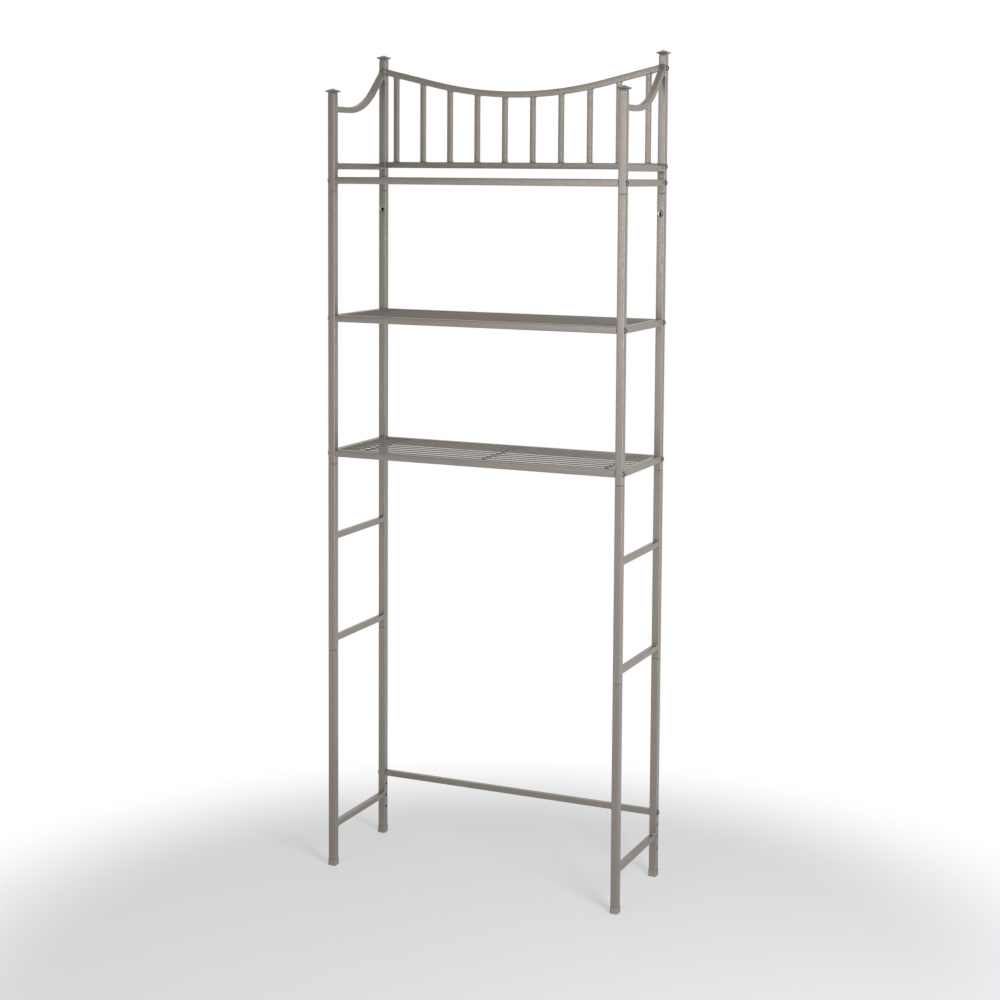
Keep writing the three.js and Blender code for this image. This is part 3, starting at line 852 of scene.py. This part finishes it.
# A straight rail that ends free, close to the posts
def freeRail(shape, size, corner, length, centre, along=acrossX, across=acrossY):
    stops = easedEnd(length)
    stops += [(-distance, inset) for distance, inset in stops[::-1]]
    rings = []
    for distance, inset in stops:
        outline = squareOutline(size - 2 * inset, corner - inset)
        rings.append(ringOf(outline, centre + along * distance, across, upward))
    skin(shape, rings)


def addBrace():
    low, high = boxOf("back_brace")
    shape = bmesh.new()
    freeRail(shape, high.z - low.z, ladder["corner"], high.x - low.x, Vector((0, 0, 0)))
    mesh = asMesh("back_brace", shape, [coat])
    addPiece("back_brace_coated", mesh, "back_brace", middleOf("back_brace"))


# Each kind of bar has its own seed
addSideBars("rung", "_bottom", ladder["corner"], 1.7)
addSideBars("rung", "_lower", ladder["corner"], 11.2)
addSideBars("rung", "_upper", ladder["corner"], 23.9)
addSideBars("side_rail", "", ladder["railCorner"], 37.1)
addBrace()
print("rungs, side rails and brace done")


# ---- side arms ----

arm = {
    "tube": 12,
    "corner": 1.2,
    "frontDrop": 24,  # from the posts' tops down to the arm
    "backDrop": 20,
    "shift": 15.8,  # the middle of the bend, behind the rack's middle
    "bend": 64,  # reach of the bend on either side of its middle
    "steps": 28,
    "frontSeed": 3.1,
    "backSeed": 8.8,
}


# Level from the front post, turned up in one smooth bend, then straight to the back post
def addArms():
    low, high = boxOf("arm_left")
    frontTop = boxOf("post_front_left_upper")[1].z
    backTop = boxOf("post_back_left_upper")[1].z
    reach = (high.y - low.y) / 2
    half = arm["tube"] / 2
    frontHeight = frontTop - arm["frontDrop"] - half
    run = reach - arm["shift"]
    rise = backTop - arm["backDrop"] - frontHeight
    slope = math.atan2(rise, run) - math.asin(half / math.hypot(rise, run))
    ahead = Vector((0, math.cos(slope), math.sin(slope)))
    corner = Vector((0, arm["shift"], frontHeight))
    start = corner - acrossY * arm["bend"]
    end = corner + ahead * arm["bend"]
    outline = squareOutline(arm["tube"], arm["corner"], weld["perFace"])
    face = Vector((0, -reach, frontHeight))
    rings = weldedEnd(outline, face, acrossY, acrossX, upward, arm["frontSeed"], aboveAndBelow)
    for k in range(arm["steps"] + 1):
        t = k / arm["steps"]
        place = start.lerp(corner, t).lerp(corner.lerp(end, t), t)
        along = ((corner - start) * (1 - t) + (end - corner) * t).normalized()
        rings.append(ringOf(outline, place, acrossX, acrossX.cross(along)))
    meeting = corner + ahead * (run / ahead.y)
    plumb = upward / math.cos(slope)
    last = weldedEnd(outline, meeting, -ahead, acrossX, plumb, arm["backSeed"], aboveAndBelow)
    shape = bmesh.new()
    bands = skin(shape, rings + last[::-1])
    steps = len(weld["profile"]) - 1
    finishBands(bands[:steps] + bands[-steps:], 1)
    mesh = asMesh("arm", shape, [coat, weldCoat])
    for side in sides:
        node = f"arm_{side}"
        addPiece(node + "_coated", mesh, node, (middleOf(node).x, 0, 0))


addArms()
print("side arms done")


# ---- back panel ----

panel = {
    "tube": 13,
    "corner": 1.4,
    "archDrop": 17.5,  # from the posts' tops down to the arch
    "archRadius": 846,
    "archEndAngle": 13.2,  # degrees
    "archSteps": 56,
    "spindles": 10,
    "spindle": 10.1,
    "spindleCorner": 0.8,
    "margin": 23,  # from the posts to the axes of the first and last spindle
    "sink": 0.5,  # how far a spindle goes into the rails
    "spindleWeld": 2.0,
    "seedStep": 2.3,
    "topSeed": 1.1,
}


def addBackPanel():
    low, high = boxOf("back_panel")
    centreY = (low.y + high.y) / 2
    length = high.x - low.x
    postLeft, postRight = boxOf("post_back_left_upper"), boxOf("post_back_right_upper")
    clear = postRight[0].x - postLeft[1].x
    turn = math.radians(panel["archEndAngle"])
    half = panel["tube"] / 2
    radius = panel["archRadius"]
    endHeight = postLeft[1].z - panel["archDrop"] - half / math.cos(turn)
    arcHalf = radius * math.sin(turn)
    centreHeight = endHeight - (clear / 2 - arcHalf) * math.tan(turn) + radius * math.cos(turn)
    railTop = low.z + panel["tube"]

    def axisHeight(x):
        if abs(x) > arcHalf:
            return centreHeight - radius * math.cos(turn) + (abs(x) - arcHalf) * math.tan(turn)
        return centreHeight - math.sqrt(radius ** 2 - x ** 2)

    def slopeAt(x):
        return math.copysign(turn, x) if abs(x) > arcHalf else math.asin(x / radius)

    shape = bmesh.new()
    rings = []
    stops = easedEnd(length)
    arc = [(-arcHalf + 2 * arcHalf * k / panel["archSteps"], 0) for k in range(panel["archSteps"] + 1)]
    stops += arc + [(-x, inset) for x, inset in stops[::-1]]
    for x, inset in stops:
        outline = squareOutline(panel["tube"] - 2 * inset, panel["corner"] - inset)
        slope = slopeAt(x)
        plumb = upward / math.cos(slope)
        rings.append(ringOf(outline, Vector((x, 0, axisHeight(x))), acrossY, plumb))
    skin(shape, rings)
    freeRail(shape, panel["tube"], panel["corner"], length, upward * (railTop - half))

    outline = squareOutline(panel["spindle"], panel["spindleCorner"], weld["perFace"])
    leg, sunk = panel["spindleWeld"], upward * panel["sink"]
    oneSide = (Vector((1, 0)), Vector((0, 1)))  # the welder went along the back and each spindle's right side
    for k, x in enumerate(spread(clear / 2 - panel["margin"], panel["spindles"])):
        axis, seed = acrossX * x, panel["seedStep"] * k
        foot = axis + upward * railTop
        rings = [ringOf(outline, foot - sunk, acrossX, acrossY)]
        rings += weldedEnd(outline, foot, upward, acrossX, acrossY, seed, oneSide, leg)
        # The top end is made at height 0, then each of its points is lifted to the arch's underside
        seed += panel["topSeed"]
        top = [ringOf(outline, axis + sunk, acrossX, acrossY)]
        top += weldedEnd(outline, axis, -upward, acrossX, acrossY, seed, oneSide, leg)
        coped = []
        for ring in top[::-1]:
            lift = [axisHeight(point.x) - half / math.cos(slopeAt(point.x)) for point in ring]
            coped.append([point + upward * height for point, height in zip(ring, lift)])
        bands = skin(shape, rings + coped)
        steps = len(weld["profile"])
        finishBands(bands[:steps] + bands[-steps:], 1)
    mesh = asMesh("back_panel", shape, [coat, weldCoat])
    addPiece("back_panel_coated", mesh, "back_panel", (0, centreY, 0))


addBackPanel()
print("back panel done")


# ---- shelves ----

shelf = {
    "tube": 14,
    "corner": 1.5,
    "wires": 8,
    "wire": 3.2,
    "drop": 1.6,  # from the frame's top to the wires
    "margin": 21,
    "crossWires": 3,
    "crossWire": 4,
    "crossMargin": 43,
    "railGap": 0.3,  # between the frame and the posts
    "sink": 0.5,  # how far a wire goes into what it's welded to
    "weldReach": 2.2,
    "weldSwell": 0.9,
    "weldProfile": ((0, 1), (0.3, 0.8), (0.6, 0.4), (1, 0)),  # along the wire and out from it
    "sunkSwell": 1.15,
    "weldLumps": 0.3,
    "crossWireSeed": 0,
    "wireSeed": 9,
    "seedStep": 0.7,
}
crossing = {
    "profile": ((-1.1, 0), (-0.9, 2.4), (-0.35, 4.0), (0.25, 4.2), (0.8, 3.0), (1.1, 0)),  # height, diameter
    "lumps": 0.2,
    "seed": 4.1,
    "facets": 12,
}


# A drawn wire between two rails, thickened by the spot welds at its ends
def addWire(shape, diameter, start, end, across, up, seed):
    along = (end - start).normalized()
    stops = [(-shelf["sink"], shelf["sunkSwell"])]
    stops += [(share * shelf["weldReach"], swell) for share, swell in shelf["weldProfile"]]
    rings = []
    for origin, direction, order in ((start, along, 1), (end, -along, -1)):
        near = []
        for distance, swell in stops:
            lumpy = 1 + shelf["weldLumps"] * noise.noise(Vector((seed, order, distance)))
            outline = roundOutline(diameter + 2 * shelf["weldSwell"] * swell * lumpy)
            near.append(ringOf(outline, origin + direction * distance, across, up))
        rings += near if order > 0 else near[::-1]
    bands = skin(shape, rings)
    steps = len(shelf["weldProfile"])
    finishBands(bands[:steps] + bands[-steps:], 2)
    finishBands(bands[steps:-steps], 1)


# The bead squeezed out where two wires are spot welded across each other
def addCrossing(shape, centre, seed):
    rings = []
    for height, diameter in crossing["profile"]:
        middle = centre + upward * height
        if diameter == 0:
            rings.append([middle])
            continue
        lumpy = 1 + crossing["lumps"] * noise.noise(Vector((seed, height, crossing["seed"])))
        rings.append(ringOf(roundOutline(diameter * lumpy, crossing["facets"]), middle, acrossX, acrossY))
    finishBands(skin(shape, rings), 2)


def addShelves():
    nearPost = "post_front_left_lower"
    postX, postY = -middleOf(nearPost).x, -middleOf(nearPost).y
    innerCorner = boxOf(nearPost)[1]
    railLength = -2 * (innerCorner.x + shelf["railGap"])
    endLength = -2 * (innerCorner.y + shelf["railGap"])
    size, corner = shelf["tube"], shelf["corner"]
    middle = -size / 2
    shape = bmesh.new()
    for sign in (-1, 1):
        freeRail(shape, size, corner, railLength, Vector((0, sign * postY, middle)))
        freeRail(shape, size, corner, endLength, Vector((sign * postX, 0, middle)), acrossY, acrossX)
    innerX, innerY = postX - size / 2, postY - size / 2
    wireHeight = -shelf["drop"] - shelf["wire"] / 2
    crossHeight = wireHeight - shelf["wire"] / 2 - shelf["crossWire"] / 2 + shelf["sink"]
    crossPlaces = spread(innerX - shelf["crossMargin"], shelf["crossWires"])
    wirePlaces = spread(innerY - shelf["margin"], shelf["wires"])
    for k, x in enumerate(crossPlaces):
        start, end = Vector((x, -innerY, crossHeight)), Vector((x, innerY, crossHeight))
        seed = shelf["crossWireSeed"] + shelf["seedStep"] * k
        addWire(shape, shelf["crossWire"], start, end, acrossX, upward, seed)
    for k, y in enumerate(wirePlaces):
        start, end = Vector((-innerX, y, wireHeight)), Vector((innerX, y, wireHeight))
        seed = shelf["wireSeed"] + shelf["seedStep"] * k
        addWire(shape, shelf["wire"], start, end, acrossY, upward, seed)
        for x in crossPlaces:
            centre = Vector((x, y, wireHeight - shelf["wire"] / 2 + shelf["sink"] / 2))
            addCrossing(shape, centre, x + y)
    mesh = asMesh("shelf", shape, [coat, wireCoat, weldCoat])
    for level in ("lower", "middle", "upper"):
        node = f"shelf_{level}"
        addPiece(node + "_coated", mesh, node, upward * boxOf(node)[1].z)


addShelves()
print("shelves done")


# ---- screws ----

screw = {
    "shank": 5,
    "point": 0.8,  # bevel at the shank's end
    "head": 12,
    "edge": 0.9,
    "undercut": 0.5,
    "underEdge": ((1, 0), (0.3, 0.12), (0, 0.4)),  # in, as shares of the undercut, and along
    "dome": 3.2,
    "socket": 5,
    "socketDepth": 1.8,
    "socketCone": 0.8,  # left by the drill's point below the socket
    "rimEase": 0.25,
    "steps": 10,
    "facets": 48,
}


# A dome-head screw with a hexagon socket, its head's underside at x = 0 and its point towards -X
def addScrews():
    low, high = boxOf("screw_brace_right")
    length = high.x - screw["dome"] - low.x
    facets = screw["facets"]
    head, edge, dome = screw["head"] / 2, screw["edge"], screw["dome"]
    corner = screw["socket"] / math.sqrt(3)

    def circle(radius, x):
        return ringOf(roundOutline(2 * radius, facets), acrossX * x, acrossY, upward)

    def hexagon(radius, x):
        ring = []
        for k in range(facets):
            angle = 2 * math.pi * k / facets
            within = (angle % (math.pi / 3)) - math.pi / 6
            reach = radius * math.cos(math.pi / 6) / math.cos(within)
            ring.append(Vector((x, reach * math.cos(angle), reach * math.sin(angle))))
        return ring

    shank, point = screw["shank"] / 2, screw["point"]
    rings = [[acrossX * -length], circle(shank - point, -length), circle(shank, point - length),
             circle(shank, 0)]
    rings += [circle(head - screw["undercut"] * inward, x) for inward, x in screw["underEdge"]]
    rings.append(circle(head, edge))
    flatRadius = corner + screw["rimEase"] * 2
    topAngle = math.acos(flatRadius / head)
    for k in range(1, screw["steps"] + 1):
        angle = topAngle * k / screw["steps"]
        rise = (dome - edge) * math.sin(angle) / math.sin(topAngle)
        rings.append(circle(head * math.cos(angle), edge + rise))
    socketFloor = dome - screw["socketDepth"]
    rings += [hexagon(corner + screw["rimEase"], dome), hexagon(corner, dome - screw["rimEase"]),
              hexagon(corner, socketFloor), [acrossX * (socketFloor - screw["socketCone"])]]
    shape = bmesh.new()
    skin(shape, rings)
    mesh = asMesh("screw", shape, [plated])
    names = [f"shelf_{level}_{depth}" for level in ("lower", "middle", "upper") for depth in depths]
    for name in names + ["panel_arch", "panel_rail", "brace"]:
        for side in sides:
            node = f"screw_{name}_{side}"
            low, high = boxOf(node)
            middle = middleOf(node)
            x, turn = (high.x - dome, 0) if side == "right" else (low.x + dome, math.pi)
            addPiece(node + "_plated", mesh, node, (x, middle.y, middle.z), turn)


addScrews()
print("screws done")
